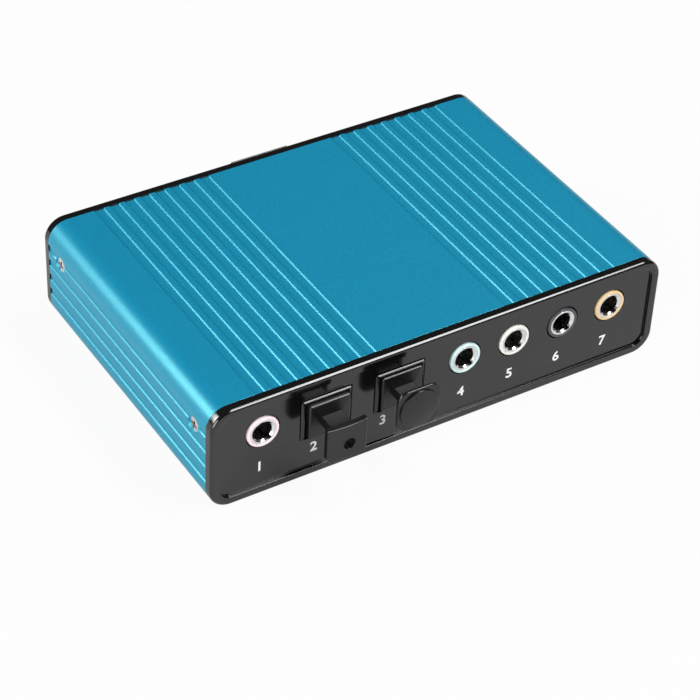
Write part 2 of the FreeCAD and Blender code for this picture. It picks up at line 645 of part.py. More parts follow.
def board_parts():
    """Electronic parts of the board by node name."""
    driver_leads = []
    for x in DRIVER_X:
        driver_leads.extend(chip_leads(x, DRIVER_Y, DRIVER_W, DRIVER_D, DRIVER_LEADS, 0, DRIVER_PITCH))
    row_y = CHIP_Y + CHIP_W / 2 + LEAD_L + SMALL_GAP
    near_chip = [(CHIP_X + (i - 1.5) * SMALL_STEP, row_y + j * SMALL_GAP) for i in range(4) for j in range(2)]
    row_y = DRIVER_Y + DRIVER_D / 2 + LEAD_L + SMALL_GAP
    near_drivers = [(x + side * SMALL_STEP / 2, row_y) for x in DRIVER_X for side in (-1, 1)]
    return {
        "audio_chip": chip(CHIP_X, CHIP_Y, CHIP_W, CHIP_W, CHIP_T),
        "audio_chip_leads": Part.makeCompound(
            chip_leads(CHIP_X, CHIP_Y, CHIP_W, CHIP_W, LEADS_PER_SIDE, LEADS_PER_SIDE, LEAD_PITCH)),
        "driver_chips": chips([(x, DRIVER_Y) for x in DRIVER_X], DRIVER_W, DRIVER_D, DRIVER_T),
        "driver_chip_leads": Part.makeCompound(driver_leads),
        "regulator": chip(REG_X, REG_Y, REG_W, REG_D, REG_T),
        "regulator_leads": Part.makeCompound(
            chip_leads(REG_X, REG_Y, REG_W, REG_D, REG_LEADS, 0, REG_PITCH)),
        "crystal": crystal_can(),
        "output_capacitors": chips([(x, OUT_CAP_Y) for x in OUT_CAP_X], OUT_CAP_W, OUT_CAP_D, OUT_CAP_T),
        "output_capacitor_leads": output_capacitor_leads(),
        "supply_capacitor_can": supply_can(),
        "supply_capacitor_foot": supply_foot(),
        "chip_capacitors": chips(near_chip, SMALL_W, SMALL_D, SMALL_T),
        "chip_resistors": chips(near_drivers, SMALL_W, SMALL_D, SMALL_T),
    }


def build():
    """All nodes of the sound card by name."""
    nodes = {
        "case_sleeve": case_sleeve(),
        "front_panel": front_panel(),
        "rear_panel": rear_panel(),
        "main_board": main_board(),
        "output_dust_plug": output_plug(),
        "input_dust_plug": input_plug(),
        "usb_shell": usb_shell(),
        "usb_insulator": usb_insulator(),
        "usb_contacts": usb_contacts(),
    }
    for name, side, y in screw_places():
        nodes[name] = side_screw(side, y)
    for name, x in zip(JACK_NAMES, JACK_X):
        nodes[name + "_jack_housing"] = jack_housing(x)
        nodes[name + "_jack_bush"] = jack_bush(x)
        nodes[name + "_jack_contacts"] = jack_contacts(x)
    for name, x in zip(PORT_NAMES, PORT_X):
        nodes["optical_" + name + "_housing"] = port_housing(x)
    nodes["light_emitter"] = port_element(PORT_X[0])
    nodes["light_detector"] = port_element(PORT_X[1])
    nodes.update(board_parts())
    return nodes


os.makedirs("parts", exist_ok=True)
for node, shape in build().items():
    shape.exportStep("parts/" + node + ".step")
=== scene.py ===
"""Looks of a USB sound card: sleeve, end caps, jacks, optical ports and USB socket."""

import logging
import math
from dataclasses import dataclass, field
from enum import Enum
from functools import lru_cache
from typing import Iterable, Sequence

import bmesh
import bpy
from bmesh.types import BMEdge, BMesh
from mathutils import Matrix, Vector


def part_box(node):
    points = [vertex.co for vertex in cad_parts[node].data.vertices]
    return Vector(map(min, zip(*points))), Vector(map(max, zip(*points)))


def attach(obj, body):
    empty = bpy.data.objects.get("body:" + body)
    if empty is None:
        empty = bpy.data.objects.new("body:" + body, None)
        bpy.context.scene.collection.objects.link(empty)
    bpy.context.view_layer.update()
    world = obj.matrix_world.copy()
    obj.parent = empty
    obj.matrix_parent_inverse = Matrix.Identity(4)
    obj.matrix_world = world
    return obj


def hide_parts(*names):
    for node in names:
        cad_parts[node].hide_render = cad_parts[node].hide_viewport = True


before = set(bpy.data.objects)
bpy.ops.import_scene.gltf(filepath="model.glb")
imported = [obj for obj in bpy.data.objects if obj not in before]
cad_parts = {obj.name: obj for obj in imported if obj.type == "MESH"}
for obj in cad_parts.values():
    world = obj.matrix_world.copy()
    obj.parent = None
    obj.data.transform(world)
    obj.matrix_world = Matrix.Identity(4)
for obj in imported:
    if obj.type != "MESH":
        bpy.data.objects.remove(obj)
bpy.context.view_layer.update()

log = logging.getLogger("sound_card")

MM = 0.001
SHARP = math.radians(28)  # edges that bend more are eased, or stay sharp in the shading
FINE = math.radians(12.5)  # the same on the plugs, whose roundings have many narrow faces
FLAT = math.radians(1)  # faces that bend less are joined
MERGE = 0.002 * MM  # points closer than this are one
FACING = 0.99  # share of a face's normal along an axis from which it looks along it
BESIDE = 0.5  # share of a face's normal along an axis below which it stands beside it
ROUND = 0.3  # middle point of a rounding made of three points, as a share of its width
NOISE_RANGE = (0.3, 0.7)  # most values of a noise lie between these
FIELD_DEPTH = 0.5 * MM  # recess of the field in the end caps

X_AXIS = Vector((1.0, 0.0, 0.0))
Y_AXIS = Vector((0.0, 1.0, 0.0))
Z_AXIS = Vector((0.0, 0.0, 1.0))
SIGNS = (-1.0, 1.0)

PORTS = ("output", "input")
# Middle of each numeral along X and Z in millimetres, from left to right.
NUMERALS = ((-35.59, 5.6), (-25.19, 5.68), (-11.65, 5.86), (4.15, 5.71), (14.16, 5.83),
            (24.07, 5.71), (34.03, 5.49))

Colour = tuple[float, float, float]
Section = Sequence[tuple[float, float]]
Shades = tuple[tuple[float, float], ...]
Socket = bpy.types.NodeSocket


class Body(Enum):
    """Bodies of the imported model."""

    CASE = "case"
    OUTPUT_PLUG = "output_plug"
    INPUT_PLUG = "input_plug"


class Join(Enum):
    """Ways to combine two closed meshes."""

    ADD = "UNION"
    CUT = "DIFFERENCE"


class Graph:
    """Node graph of one material, built around a Principled shader."""

    def __init__(self, name: str) -> None:
        """Start an empty graph.

        Args:
            name: Name of the material.
        """
        self.material = bpy.data.materials.new(name)
        self.material.use_nodes = True
        self.tree = self.material.node_tree
        self.tree.nodes.clear()
        self.output = self.add("OutputMaterial")
        self.shader = self.add("BsdfPrincipled")
        self.link(self.shader.outputs["BSDF"], self.output.inputs["Surface"])
        self.place = self.add("TexCoord").outputs["Object"]

    def add(self, kind: str) -> bpy.types.Node:
        """Add a shader node of a kind."""
        return self.tree.nodes.new(f"ShaderNode{kind}")

    def link(self, start: Socket, end: Socket) -> None:
        """Join two sockets."""
        self.tree.links.new(start, end)

    def set(self, **values: float | tuple[float, ...]) -> None:
        """Set sockets of the shader; an underscore in a name stands for a blank."""
        for key, value in values.items():
            self.shader.inputs[key.replace("_", " ")].default_value = value

    def noise(self, scale: float, detail: float = 2.0, rough: float = 0.5,
              stretch: Colour = (1.0, 1.0, 1.0)) -> Socket:
        """Add a noise texture on Object coordinates.

        Args:
            scale: Cells per metre.
            detail: Octaves.
            rough: Share of the finer octaves.
            stretch: Scale of each axis, for drawn or brushed grain.

        Returns:
            The noise value.
        """
        mapping = self.add("Mapping")
        mapping.inputs["Scale"].default_value = stretch
        self.link(self.place, mapping.inputs["Vector"])
        noise = self.add("TexNoise")
        noise.inputs["Scale"].default_value = scale
        noise.inputs["Detail"].default_value = detail
        noise.inputs["Roughness"].default_value = rough
        self.link(mapping.outputs["Vector"], noise.inputs["Vector"])
        return noise.outputs["Fac"]

    def ramp(self, value: Socket, stops: Sequence[tuple[float, Colour]]) -> Socket:
        """Turn a value into a colour.

        Args:
            value: Socket to read.
            stops: Places and colours of the ramp.

        Returns:
            The colour.
        """
        ramp = self.add("ValToRGB")
        elements = ramp.color_ramp.elements
        while len(elements) < len(stops):
            elements.new(0.5)
        for element, (position, colour) in zip(elements, stops):
            element.position = position
            element.color = (*colour, 1.0)
        self.link(value, ramp.inputs["Fac"])
        return ramp.outputs["Color"]

    def spread(self, value: Socket, low: float, high: float) -> Socket:
        """Map the middle of a noise to a range of numbers.

        Args:
            value: Noise value.
            low: Result at the dark end.
            high: Result at the bright end.

        Returns:
            The mapped value.
        """
        node = self.add("MapRange")
        ends = ("From Min", "From Max", "To Min", "To Max")
        for name, number in zip(ends, (*NOISE_RANGE, low, high)):
            node.inputs[name].default_value = number
        self.link(value, node.inputs["Value"])
        return node.outputs["Result"]

    def reckon(self, operation: str, *terms: Socket | float) -> Socket:
        """Add a math node.

        Args:
            operation: Blender's name of the operation.
            terms: Sockets or numbers to work on.

        Returns:
            The result.
        """
        node = self.add("Math")
        node.operation = operation
        for entry, term in zip(node.inputs, terms):
            if isinstance(term, Socket):
                self.link(term, entry)
            else:
                entry.default_value = term
        return node.outputs["Value"]

    def paint(self, colour: Socket) -> None:
        """Drive the base colour."""
        self.link(colour, self.shader.inputs["Base Color"])

    def roughen(self, value: Socket) -> None:
        """Drive the roughness."""
        self.link(value, self.shader.inputs["Roughness"])

    def bump(self, heights: Iterable[tuple[Socket, float]]) -> None:
        """Stack bumps onto the shader's normal.

        Args:
            heights: Height sockets, each with its depth in metres.
        """
        normal = None
        for height, depth in heights:
            node = self.add("Bump")
            node.inputs["Distance"].default_value = depth
            self.link(height, node.inputs["Height"])
            if normal is not None:
                self.link(normal, node.inputs["Normal"])
            normal = node.outputs["Normal"]
        self.link(normal, self.shader.inputs["Normal"])


def shaded(colour: Colour, shades: Shades) -> list[tuple[float, Colour]]:
    """Make the stops of a ramp through lighter and darker versions of a colour.

    Args:
        colour: Colour to vary.
        shades: Place of each stop, and how much brighter the colour is there.

    Returns:
        The stops.
    """
    return [(place, tuple(min(1.0, c * factor) for c in colour)) for place, factor in shades]


@dataclass(frozen=True)
class Anodised:
    """Blasted and dyed aluminium, with painted glints in the base colour."""

    name: str
    colour: Colour
    # Painted glint: a lighter colour painted into the base colour where the grain is highest.
    painted_glint: Colour
    sheen: Colour = (0.46, 1.0, 0.6)
    roughness: float = 0.36
    spread: float = 0.01
    metallic: float = 0.2
    ior: float = 1.8
    grain: float = 4200.0
    grain_depth: float = 0.012 * MM
    cloud: float = 160.0
    shades: Shades = ((0.28, 0.86), (0.5, 1.0), (0.68, 1.14))
    # Place on the grain's ramp from which the painted glint colour is painted.
    painted_glint_at: float = 0.84

    def material(self) -> bpy.types.Material:
        """Build the material.

        Returns:
            The material.
        """
        g = Graph(self.name)
        grain = g.noise(self.grain, rough=0.6)
        cloud = g.noise(self.cloud, detail=3.0, rough=0.55)
        # The last stop paints glints into the base colour.
        stops = shaded(self.colour, self.shades) + [(self.painted_glint_at, self.painted_glint)]
        g.paint(g.ramp(grain, stops))
        g.roughen(g.spread(cloud, self.roughness - self.spread, self.roughness + self.spread))
        g.set(Metallic=self.metallic, IOR=self.ior, Specular_Tint=(*self.sheen, 1.0))
        g.bump([(grain, self.grain_depth)])
        return g.material


@dataclass(frozen=True)
class Moulded:
    """Injection-moulded plastic."""

    name: str
    colour: Colour
    roughness: float = 0.3
    spread: float = 0.05
    texture: float = 2600.0
    texture_depth: float = 0.0006 * MM
    mottle: float = 90.0
    shades: Shades = ((0.3, 0.9), (0.7, 1.1))
    wave: float = 60.0
    waviness: float = 0.0
    specular: float = 0.5

    def material(self) -> bpy.types.Material:
        """Build the material.

        Returns:
            The material.
        """
        g = Graph(self.name)
        fine = g.noise(self.texture)
        broad = g.noise(self.mottle)
        g.paint(g.ramp(broad, shaded(self.colour, self.shades)))
        g.roughen(g.spread(broad, self.roughness - self.spread, self.roughness + self.spread))
        g.set(Specular_IOR_Level=self.specular)
        heights = [(fine, self.texture_depth)]
        if self.waviness:
            heights.append((g.noise(self.wave, detail=1.0, rough=0.4), self.waviness))
        g.bump(heights)
        return g.material


@dataclass(frozen=True)
class Plated:
    """Plated or bare metal with fine tool marks."""

    name: str
    colour: Colour
    roughness: float = 0.2
    spread: float = 0.06
    grain: float = 1500.0
    stretch: Colour = (1.0, 1.0, 1.0)
    grain_depth: float = 0.0008 * MM
    cloud: float = 420.0
    shades: Shades = ((0.3, 0.86), (0.7, 1.06))

    def material(self) -> bpy.types.Material:
        """Build the material.

        Returns:
            The material.
        """
        g = Graph(self.name)
        grain = g.noise(self.grain, detail=3.0, rough=0.6, stretch=self.stretch)
        cloud = g.noise(self.cloud)
        g.paint(g.ramp(cloud, shaded(self.colour, self.shades)))
        g.roughen(g.spread(grain, self.roughness - self.spread, self.roughness + self.spread))
        g.set(Metallic=1.0)
        g.bump([(grain, self.grain_depth)])
        return g.material


@dataclass(frozen=True)
class SolderMask:
    """Lacquered circuit board with faint copper tracks under the lacquer."""

    name: str
    colour: Colour
    track: Colour
    track_scale: float = 700.0
    track_stretch: Colour = (1.0, 0.2, 1.0)
    track_band: Colour = (0.46, 0.5, 0.54)
    track_depth: float = 0.01 * MM
    cloud: float = 300.0
    gloss: tuple[float, float] = (0.22, 0.34)

    def material(self) -> bpy.types.Material:
        """Build the material.

        Returns:
            The material.
        """
        g = Graph(self.name)
        tracks = g.noise(self.track_scale, detail=0.0, stretch=self.track_stretch)
        stops = list(zip(self.track_band, (self.colour, self.track, self.colour)))
        g.paint(g.ramp(tracks, stops))
        g.roughen(g.spread(g.noise(self.cloud), *self.gloss))
        g.bump([(tracks, self.track_depth)])
        return g.material


class Finish(Enum):
    """Finishes by the record's material slot."""

    # Its second colour is the painted glint.
    SLEEVE = Anodised("sleeve_blue", (0.004, 0.202, 0.346), (0.04, 0.38, 0.54))
    CAP = Moulded("cap_black", (0.003, 0.003, 0.0033), roughness=0.13, spread=0.02,
                  waviness=0.002 * MM, specular=0.68)
    PLUG = Moulded("plug_black", (0.004, 0.004, 0.0044), roughness=0.32,
                   texture_depth=0.001 * MM, specular=0.5)
    PORT = Moulded("port_black", (0.004, 0.004, 0.0044), roughness=0.2, specular=0.6)
    SCREW = Plated("screw_nickel", (0.78, 0.74, 0.72), roughness=0.24)
    BOARD = SolderMask("board_green", (0.012, 0.10, 0.03), (0.03, 0.19, 0.05))
    JACK_PINK = Moulded("jack_pink", (0.87, 0.71, 0.76), roughness=0.25)
    JACK_BLUE = Moulded("jack_blue", (0.62, 0.81, 0.82), roughness=0.25)
    JACK_CREAM = Moulded("jack_cream", (0.86, 0.86, 0.81), roughness=0.25)
    JACK_BLACK = Moulded("jack_black", (0.055, 0.057, 0.066), roughness=0.25)
    JACK_ORANGE = Moulded("jack_orange", (0.83, 0.60, 0.33), roughness=0.25)
    BUSH = Plated("bush_nickel", (0.86, 0.85, 0.84), roughness=0.16, spread=0.05)
    CONTACT = Plated("contact_brass", (0.78, 0.60, 0.28), roughness=0.25)
    CLEAR = Moulded("element_clear", (0.62, 0.64, 0.66), roughness=0.12)
    DARK = Moulded("element_dark", (0.03, 0.03, 0.035), roughness=0.12)
    USB_STEEL = Plated("usb_steel", (0.8, 0.8, 0.79), roughness=0.42, grain=900.0,
                       stretch=(1.0, 0.08, 1.0))
    USB_BLACK = Moulded("usb_black", (0.012, 0.012, 0.012), roughness=0.42)
    CHIP = Moulded("chip_black", (0.022, 0.022, 0.022), roughness=0.5, texture_depth=0.003 * MM)
    TIN = Plated("lead_tin", (0.72, 0.72, 0.72), roughness=0.3)
    CRYSTAL = Plated("crystal_steel", (0.68, 0.68, 0.67), roughness=0.22)
    CAN = Plated("can_aluminium", (0.74, 0.74, 0.75), roughness=0.26)
    TANTALUM = Moulded("capacitor_yellow", (0.55, 0.34, 0.05), roughness=0.42)
    FOOT = Moulded("foot_black", (0.015, 0.015, 0.015), roughness=0.5)
    CERAMIC = Moulded("chip_tan", (0.36, 0.25, 0.14), roughness=0.45)
    PRINT = Moulded("print_white", (0.86, 0.86, 0.86), roughness=0.5)

    @property
    def slot(self) -> str:
        """Name of the record's material slot."""
        return self.value.name

    def material(self) -> bpy.types.Material:
        """The finish's material, built once."""
        return bpy.data.materials.get(f"{self.slot}_finish") or self._build()

    def _build(self) -> bpy.types.Material:
        """Build and name the material.

        Returns:
            The material.
        """
        material = self.value.material()
        material.name = f"{self.slot}_finish"
        return material


JACKS = {"mic": Finish.JACK_PINK, "line": Finish.JACK_BLUE, "front": Finish.JACK_CREAM,
         "rear": Finish.JACK_BLACK, "bass": Finish.JACK_ORANGE}


def mesh_of(name: str, bm: BMesh) -> bpy.types.Mesh:
    """Turn a bmesh into a mesh.

    Args:
        name: Name of the mesh.
        bm: Mesh to turn; it is freed.

    Returns:
        The new mesh.
    """
    mesh = bpy.data.meshes.new(name)
    bm.to_mesh(mesh)
    bm.free()
    return mesh


def add_object(name: str, data: bpy.types.ID) -> bpy.types.Object:
    """Add an object to the scene.

    Args:
        name: Name of the object.
        data: Its mesh, curve, light or camera.

    Returns:
        The new object.
    """
    thing = bpy.data.objects.new(name, data)
    bpy.context.scene.collection.objects.link(thing)
    return thing


def finished_mesh(thing: bpy.types.Object) -> bpy.types.Mesh:
    """New mesh of an object as its modifiers or its curve make it."""
    depsgraph = bpy.context.evaluated_depsgraph_get()
    return bpy.data.meshes.new_from_object(thing.evaluated_get(depsgraph))


def settle(name: str, bm: BMesh, finish: Finish, body: Body,
           nodes: Sequence[str] = ()) -> bpy.types.Object:
    """Turn a bmesh into a finished piece that rides on a body.

    Args:
        name: Name of the piece.
        bm: Mesh in metres, in its place; it is freed.
        finish: Finish of the piece.
        body: Body it moves with.
        nodes: CAD nodes it stands for.

    Returns:
        The new object.
    """
    mesh = mesh_of(name, bm)
    mesh.materials.append(finish.material())
    piece = add_object(name, mesh)
    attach(piece, body.value)
    if nodes:
        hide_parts(*nodes)
    log.info("%s: %d faces on %s", name, len(mesh.polygons), body.value)
    return piece


def dress(finish: Finish, node: str) -> None:
    """Give a CAD node that stays as it is its finish.

    Args:
        finish: Finish of the node.
        node: Name of the node.
    """
    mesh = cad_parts[node].data
    mesh.materials.clear()
    mesh.materials.append(finish.material())
    log.info("%s: dressed in %s", node, finish.slot)


def cad_copy(node: str) -> BMesh:
    """Merged copy of a CAD node's mesh with flat faces joined.

    Args:
        node: Name of the node.

    Returns:
        The copy, in metres.
    """
    bm = bmesh.new()
    bm.from_mesh(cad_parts[node].data)
    bmesh.ops.remove_doubles(bm, verts=bm.verts, dist=MERGE)
    bmesh.ops.dissolve_limit(bm, angle_limit=FLAT, verts=bm.verts, edges=bm.edges)
    bmesh.ops.connect_verts_concave(bm, faces=bm.faces)
    return bm


def polish(piece: bpy.types.Object, sharp: float = SHARP) -> None:
    """Shade a piece smooth with flat faces kept flat.

    Args:
        piece: Piece to finish.
        sharp: Angle from which an edge without a bevel stays sharp.
    """
    piece.data.shade_smooth()
    if "eased_edges" not in piece.modifiers:
        piece.data.set_sharp_from_angle(angle=sharp)
    normals = piece.modifiers.new("flat_faces", "WEIGHTED_NORMAL")
    normals.keep_sharp = True


def eased(piece: bpy.types.Object, width: float, segments: int = 2) -> None:
    """Round the sharp edges of a piece with a weighted bevel.

    Args:
        piece: Piece to finish.
        width: Width of the bevel in metres.
        segments: Segments of the bevel.
    """
    bm = bmesh.new()
    bm.from_mesh(piece.data)
    layer = bm.edges.layers.float.new("bevel_weight_edge")
    for edge in bm.edges:
        if len(edge.link_faces) == 2 and edge.calc_face_angle(0.0) > SHARP:
            edge[layer] = 1.0
    bm.to_mesh(piece.data)
    bm.free()
    bevel = piece.modifiers.new("eased_edges", "BEVEL")
    bevel.limit_method = "WEIGHT"
    bevel.width = width
    bevel.segments = segments
    bevel.profile = 0.5
    bevel.use_clamp_overlap = False
    polish(piece)


def combine(piece: bpy.types.Object, tool: BMesh, way: Join) -> None:
    """Cut a closed mesh out of a piece or join it on, for good.

    Args:
        piece: Piece to change.
        tool: Closed mesh; it is freed.
        way: Whether to cut or to join.
    """
    mesh = mesh_of("tool", tool)
    helper = add_object("tool", mesh)
    step = piece.modifiers.new("step", "BOOLEAN")
    step.operation = way.value
    step.object = helper
    result = finished_mesh(piece)
    piece.modifiers.remove(step)
    old, piece.data = piece.data, result
    bpy.data.objects.remove(helper)
    bpy.data.meshes.remove(mesh)
    bpy.data.meshes.remove(old)


def round_edges(bm: BMesh, edges: Sequence[BMEdge], width: float, segments: int) -> None:
    """Round edges of a mesh.

    Args:
        bm: Mesh to change.
        edges: Edges to round.
        width: Width of the rounding.
        segments: Segments of the rounding.
    """
    bmesh.ops.bevel(bm, geom=edges, offset=width, segments=segments, profile=0.5, affect="EDGES",
                    material=-1)


def add_box(bm: BMesh, low: Sequence[float], high: Sequence[float], edge: float = 0.0,
            segments: int = 2) -> None:
    """Add a box between two corners, with its edges rounded.

    Args:
        bm: Mesh to add to.
        low: Lowest corner.
        high: Highest corner.
        edge: Width of the rounding.
        segments: Segments of the rounding.
    """
    made = bmesh.ops.create_cube(bm, size=1.0)["verts"]
    low, high = Vector(low), Vector(high)
    bmesh.ops.scale(bm, vec=high - low, verts=made)
    bmesh.ops.translate(bm, vec=(low + high) / 2, verts=made)
    if edge:
        round_edges(bm, list({e for v in made for e in v.link_edges}), edge, segments)


def turned_box(size: tuple[float, float, float], place: Matrix) -> BMesh:
    """Make a box that is turned and moved to its place.

    Args:
        size: Lengths of its sides.
        place: Turn and place of its middle.

    Returns:
        The box.
    """
    bm = bmesh.new()
    bmesh.ops.create_cube(bm, size=1.0)
    bmesh.ops.transform(bm, matrix=place @ Matrix.Diagonal((*size, 1.0)), verts=bm.verts)
    return bm


def turn(bm: BMesh, section: Section, centre: Vector, axis: Vector, steps: int,
         closed: bool = True) -> None:
    """Turn a section around an axis.

    Args:
        bm: Mesh to add to.
        section: Radius and place along the axis of each corner.
        centre: Point on the axis, whose own place along it is not used.
        axis: Unit vector of the axis.
        steps: Steps around the axis.
        closed: Whether the last corner joins the first.
    """
    start = centre - axis * centre.dot(axis)
    verts = [bm.verts.new(start + Z_AXIS * r + axis * t) for r, t in section]
    pairs = zip(verts, verts[1:] + (verts[:1] if closed else []))
    edges = [bm.edges.new(pair) for pair in pairs]
    bmesh.ops.spin(bm, geom=verts + edges, cent=start, axis=axis, dvec=(0.0, 0.0, 0.0),
                   angle=math.tau, steps=steps, use_merge=True)
    bmesh.ops.remove_doubles(bm, verts=bm.verts, dist=MERGE)
    bmesh.ops.recalc_face_normals(bm, faces=bm.faces)


def lipped_bore(radius: float, lip: float, flare: float, start: float, face: float,
                end: float) -> Section:
    """Section of a round cutter that leaves a bore with a rounded lip.

    Args:
        radius: Radius of the bore.
        lip: Width of the rounding.
        flare: Widths of the lip by which the cutter is wider at its start.
        start: Place of the cutter's start along its axis, in front of the face.
        face: Place of the face that the bore goes into.
        end: Place of the cutter's end.

    Returns:
        The section, open along the axis.
    """
    return [(0.0, start), (radius + flare * lip, start), (radius + lip, face),
            (radius + ROUND * lip, face + ROUND * lip), (radius, face + lip),
            (radius, end), (0.0, end)]


def arc(angle: float, steps: int) -> list[float]:
    """Angles from nought up to an angle in even steps."""
    return [angle * k / steps for k in range(steps + 1)]


def on_plane(edge: BMEdge, y: float) -> bool:
    """Whether both ends of an edge lie at a place along Y."""
    return all(abs(v.co.y - y) < MERGE for v in edge.verts)


def span(edge: BMEdge) -> float:
    """Distance between the ends of an edge along Y."""
    return abs(edge.verts[0].co.y - edge.verts[1].co.y)


@lru_cache(maxsize=None)
def corners(node: str) -> tuple[Vector, Vector]:
    """Lowest and highest corner of a CAD node as vectors."""
    low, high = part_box(node)
    return Vector(low), Vector(high)


def centre_of(node: str) -> Vector:
    """Middle of a CAD node's box."""
    low, high = corners(node)
    return (low + high) / 2


def board_top() -> float:
    """Height of the board's upper face."""
    return corners("main_board")[1].z


@dataclass
class Sleeve:
    """Extruded sleeve of the case."""

    node: str = "case_sleeve"
    edge: float = 0.05 * MM

    def build(self) -> None:
        """Make the sleeve."""
        shell = cad_copy(self.node)
        eased(settle("sleeve_shell", shell, Finish.SLEEVE, Body.CASE, [self.node]), self.edge)


@dataclass
class EndCap:
    """Moulded end cap: plate with a recessed field, tongues and screw lugs."""

    node: str
    side: float
    corner: float = 3.9 * MM
    corner_segments: int = 14
    edge: float = 0.6 * MM
    edge_segments: int = 6
    rim: float = 1.7 * MM
    depth: float = FIELD_DEPTH
    lip: float = 0.05 * MM
    lip_segments: int = 3
    floor_edge: float = 0.06 * MM
    floor_segments: int = 2
    fit: float = 0.1 * MM
    wall: float = 1.5 * MM
    through: float = 2.2 * MM
    tongue_in: float = 12.0 * MM
    tongue_out: float = 9.0 * MM
    tongue: tuple[float, float] = (2.4 * MM, 1.1 * MM)
    lug: tuple[float, float] = (3.1 * MM, 2.5 * MM)
    root: float = 0.4 * MM
    pilot: float = 0.9 * MM
    pilot_half: float = 2.2 * MM
    pilot_steps: int = 24

    def build(self) -> None:
        """Make the cap with its openings."""
        bm = bmesh.new()
        self.plate(bm)
        piece = settle(f"{self.node}_moulding", bm, Finish.CAP, Body.CASE, [self.node])
        adds = bmesh.new()
        self.tongues(adds)
        combine(piece, adds, Join.ADD)
        cuts = bmesh.new()
        self.pilots(cuts)
        self.openings(cuts)
        combine(piece, cuts, Join.CUT)
        polish(piece)

    @property
    def face(self) -> float:
        """Place of the outer face along Y."""
        low, high = corners(self.node)
        return low.y if self.side < 0 else high.y

    @property
    def back(self) -> float:
        """Place of the plate's inner face along Y."""
        low, high = corners("case_sleeve")
        return low.y if self.side < 0 else high.y

    def inward(self, distance: float) -> float:
        """Place along Y at a distance behind the outer face."""
        return self.face - self.side * distance

    def plate(self, bm: BMesh) -> None:
        """Plate with rounded corners, a rounded outer edge and the recessed field.

        Args:
            bm: Empty mesh to make it in.
        """
        low, high = corners(self.node)
        near, far = sorted((self.face, self.back))
        add_box(bm, (low.x, near, low.z), (high.x, far, high.z))
        upright = [e for e in bm.edges if span(e) > self.depth]
        round_edges(bm, upright, self.corner, self.corner_segments)
        rim = [e for e in bm.edges if on_plane(e, self.face)]
        round_edges(bm, rim, self.edge, self.edge_segments)
        front = max((f for f in bm.faces if f.normal.y * self.side > FACING),
                    key=lambda f: f.calc_area())
        bmesh.ops.inset_region(bm, faces=[front], thickness=self.rim - self.edge,
                               use_even_offset=True)
        made = bmesh.ops.extrude_discrete_faces(bm, faces=[front])["faces"][0]
        bmesh.ops.translate(bm, vec=(0.0, -self.side * self.depth, 0.0), verts=made.verts)
        floor = list(made.edges)
        mouth = [e for e in bm.edges if on_plane(e, self.face)
                 and any(abs(f.normal.y) < BESIDE for f in e.link_faces)]
        round_edges(bm, floor, self.floor_edge, self.floor_segments)
        round_edges(bm, [e for e in mouth if e.is_valid], self.lip, self.lip_segments)
        bmesh.ops.recalc_face_normals(bm, faces=bm.faces)

    def tongues(self, bm: BMesh) -> None:
        """Tongues and lugs that reach into the sleeve.

        Args:
            bm: Mesh to add to.
        """
        low, high = corners(self.node)
        start = self.back + self.side * self.root
        length, thick = self.tongue
        deep, half = self.lug
        wall = high.x - self.wall - self.fit
        for sign in SIGNS:
            xs = sorted((sign * self.tongue_in, sign * (high.x - self.tongue_out)))
            ys = sorted((start, self.back - self.side * length))
            for z in (low.z + self.wall + self.fit, high.z - self.wall - self.fit - thick):
                add_box(bm, (xs[0], ys[0], z), (xs[1], ys[1], z + thick), self.lip)
            xs = sorted((sign * wall, sign * (wall - deep)))
            at = self.screw(sign)
            ys = sorted((start, at.y - self.side * half))
            add_box(bm, (xs[0], ys[0], at.z - half), (xs[1], ys[1], at.z + half), self.lip)

    def screw(self, sign: float) -> Vector:
        """Find the screw on one side.

        Args:
            sign: Side along X.

        Returns:
            Middle of the screw.
        """
        end = "front" if self.side < 0 else "rear"
        hand = "left" if sign < 0 else "right"
        return centre_of(f"screw_{end}_{hand}")

    def pilots(self, bm: BMesh) -> None:
        """Bores for the screws.

        Args:
            bm: Mesh of the cutters to add to.
        """
        for sign in SIGNS:
            at = self.screw(sign)
            start, end = at.x - self.pilot_half, at.x + self.pilot_half
            section = [(0.0, start), (self.pilot, start), (self.pilot, end), (0.0, end)]
            turn(bm, section, at, X_AXIS, self.pilot_steps, closed=False)

    def openings(self, bm: BMesh) -> None:
        """Openings of the cap; each kind of cap adds its own."""
        raise NotImplementedError


@dataclass
class FrontCap(EndCap):
    """Front cap with the holes of the jacks and the windows of the optical ports."""

    hole: float = 3.25 * MM
    hole_lip: float = 0.1 * MM
    hole_steps: int = 64
    window_sill: float = 0.85 * MM
    window_crown: float = 0.7 * MM

    def openings(self, bm: BMesh) -> None:
        """Round holes with a rounded lip, and square windows.

        Args:
            bm: Mesh of the cutters to add to.
        """
        past = self.inward(-self.depth)
        inside = self.inward(self.through)
        bore = lipped_bore(self.hole, self.hole_lip, flare=3, start=past,
                           face=self.inward(self.depth), end=inside)
        for name in JACKS:
            turn(bm, bore, centre_of(f"{name}_jack_bush"), Y_AXIS, self.hole_steps, closed=False)
        sill = board_top() + self.window_sill
        for name in PORTS:
            low, high = corners(f"optical_{name}_housing")
            add_box(bm, (low.x - self.fit, past, sill - self.fit),
                    (high.x + self.fit, inside, high.z - self.window_crown + self.fit))


@dataclass
class RearCap(EndCap):
    """Rear cap with the window of the USB socket."""

    def openings(self, bm: BMesh) -> None:
        """Square window.

        Args:
            bm: Mesh of the cutters to add to.
        """
        low, high = corners("usb_shell")
        add_box(bm, (low.x - self.fit, self.inward(self.through), board_top() - self.fit),
                (high.x + self.fit, self.inward(-self.depth), high.z + self.fit))


